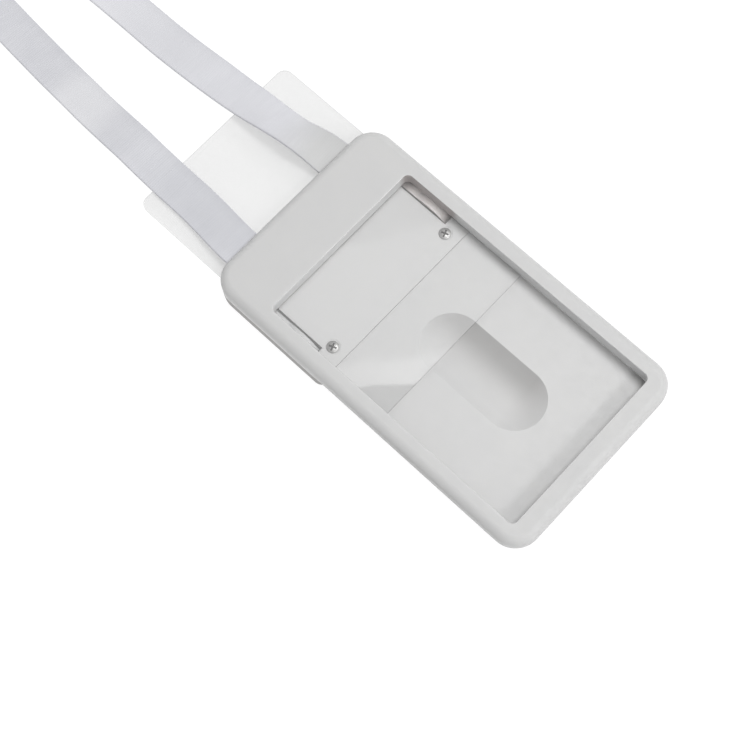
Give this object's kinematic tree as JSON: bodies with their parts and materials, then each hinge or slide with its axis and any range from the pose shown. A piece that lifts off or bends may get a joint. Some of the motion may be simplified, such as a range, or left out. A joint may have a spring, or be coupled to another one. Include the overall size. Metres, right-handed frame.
{
  "type": "lanyard badge holder",
  "caption": "Open-fronted card holder with a clear sliding window sheet, a screwed cover plate, spring tongues and a flat ribbon neck loop folded into a tied hank.",
  "frame": {"origin": "centre of the bounding box of the holder and its sheet, lanyard left out, on the plane of the bay's back", "axes": "+X to the holder's right, +Y towards its top edge where the ribbon leaves, +Z out of its front face"},
  "size_m": [0.0632, 0.3737, 0.0124],
  "materials": {
    "frame_plastic": "fine satin moulded ABS, pale neutral grey",
    "shell_plastic": "fine matt moulded ABS, pale neutral grey",
    "plate_plastic": "fine matt moulded ABS, pale neutral grey",
    "screw_steel": "nickel-plated steel",
    "clamp_steel": "bent tinned sheet steel",
    "clear_sheet": "clear polished plastic sheet with a slight haze",
    "ribbon_weave": "fine grosgrain ribbon, pale lilac grey",
    "tie_elastic": "flat white elastic band"
  },
  "bodies": {
    "holder": {"front_frame": "frame_plastic", "rear_shell": "shell_plastic", "cover_plate": "plate_plastic", "cover_screw_left": "screw_steel", "cover_screw_right": "screw_steel", "strap_keeper": "shell_plastic", "ribbon_clamp_left": "clamp_steel", "ribbon_clamp_right": "clamp_steel", "strap_left": "ribbon_weave", "strap_right": "ribbon_weave", "strap_hank": "ribbon_weave", "hank_tie": "tie_elastic"},
    "sheet": {"window_sheet": "clear_sheet"},
    "left_tongue": {"spring_tongue_left": "plate_plastic"},
    "right_tongue": {"spring_tongue_right": "plate_plastic"}
  },
  "joints": [
    {"name": "sheet_slide", "type": "slide", "parent": "holder", "child": "sheet", "axis": [0, 1, 0], "range_m": [-0.0441, 0.012]},
    {"name": "left_tongue_flex", "type": "hinge", "parent": "holder", "child": "left_tongue", "pos_m": [-0.0253, 0.0215, 0.0048], "axis": [1, 0, 0], "range_deg": [0, 4], "stiffness_Nm_per_rad": 0.05},
    {"name": "right_tongue_flex", "type": "hinge", "parent": "holder", "child": "right_tongue", "pos_m": [0.0253, 0.0215, 0.0048], "axis": [1, 0, 0], "range_deg": [0, 4], "stiffness_Nm_per_rad": 0.05}
  ]
}
